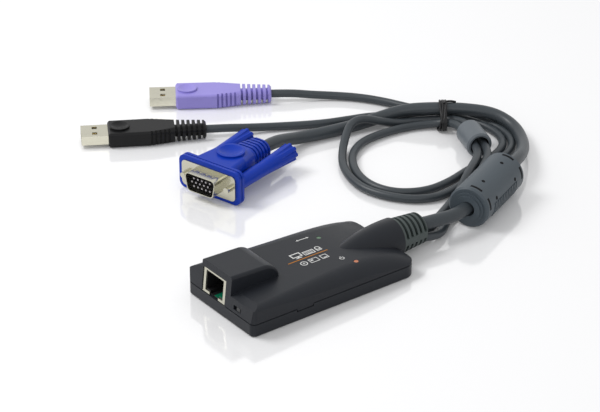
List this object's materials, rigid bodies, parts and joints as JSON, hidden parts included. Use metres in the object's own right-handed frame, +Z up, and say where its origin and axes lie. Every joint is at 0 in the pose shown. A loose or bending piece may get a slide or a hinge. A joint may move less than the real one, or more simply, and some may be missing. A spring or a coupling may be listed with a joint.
{
  "type": "keyboard video mouse adapter module",
  "caption": "Low black adapter module with a network jack in a raised box at one end and a domed strain relief at the other, from which a video cord and thinner USB cords run to their plugs.",
  "frame": {"origin": "centre of the housing's flat underside, half way along its straight sides", "axes": "+X from the jack face towards the cords, +Y to the left when looking along +X, +Z up"},
  "size_m": [0.2088, 0.2105, 0.0207],
  "materials": {
    "case": "fine satin texture",
    "board": "solder mask",
    "jack_insert": "moulded",
    "steel": "bright nickel plate",
    "gold": "gold plate",
    "green_lens": "clear",
    "orange_lens": "clear",
    "led": "moulded",
    "chip": "moulded",
    "crystal_can": "satin",
    "header": "moulded",
    "slider": "moulded",
    "relief": "matt",
    "cord": "satin",
    "ferrite_cover": "satin",
    "ferrite": "sintered",
    "tie": "smooth",
    "usb_black": "satin",
    "usb_purple": "satin",
    "tongue": "moulded",
    "vga_blue": "satin",
    "vga_insert": "moulded"
  },
  "bodies": {
    "adapter": {"bottom_cover": "case", "top_cover": "case", "circuit_board": "board", "rj45_housing": "jack_insert", "rj45_shield": "steel", "rj45_contacts": "gold", "online_light_pipe": "green_lens", "power_light_pipe": "orange_lens", "online_led": "led", "power_led": "led", "video_chip": "chip", "interface_chip": "chip", "isolation_transformer": "chip", "crystal": "crystal_can", "cable_header": "header", "switch_body": "chip", "strain_relief": "relief", "video_cord": "cord", "usb_cord_purple": "cord", "usb_cord_black": "cord", "large_ferrite_cover": "ferrite_cover", "large_ferrite_core": "ferrite", "small_ferrite_cover": "ferrite_cover", "small_ferrite_core": "ferrite", "cable_tie": "tie", "usb_overmould_black": "usb_black", "usb_shell_black": "steel", "usb_tongue_black": "tongue", "usb_contacts_black": "gold", "usb_overmould_purple": "usb_purple", "usb_shell_purple": "steel", "usb_tongue_purple": "tongue", "usb_contacts_purple": "gold", "vga_shell": "steel", "vga_insulator": "vga_insert", "vga_pins": "gold", "vga_hood": "vga_blue"},
    "right_thumbscrew": {"thumbscrew_right": "vga_blue", "jackscrew_right": "steel"},
    "left_thumbscrew": {"thumbscrew_left": "vga_blue", "jackscrew_left": "steel"},
    "recovery_slider": {"switch_slider": "slider"}
  },
  "joints": [
    {"name": "right_thumbscrew_turn", "type": "hinge", "parent": "adapter", "child": "right_thumbscrew", "pos_m": [0.02411, 0.07781, 0.00845], "axis": [-0.9613, -0.2756, 0], "continuous": true},
    {"name": "left_thumbscrew_turn", "type": "hinge", "parent": "adapter", "child": "left_thumbscrew", "pos_m": [0.01722, 0.10185, 0.00845], "axis": [-0.9613, -0.2756, 0], "continuous": true},
    {"name": "recovery_slide", "type": "slide", "parent": "adapter", "child": "recovery_slider", "axis": [0, 1, 0], "range_m": [0, 0.0015]}
  ]
}
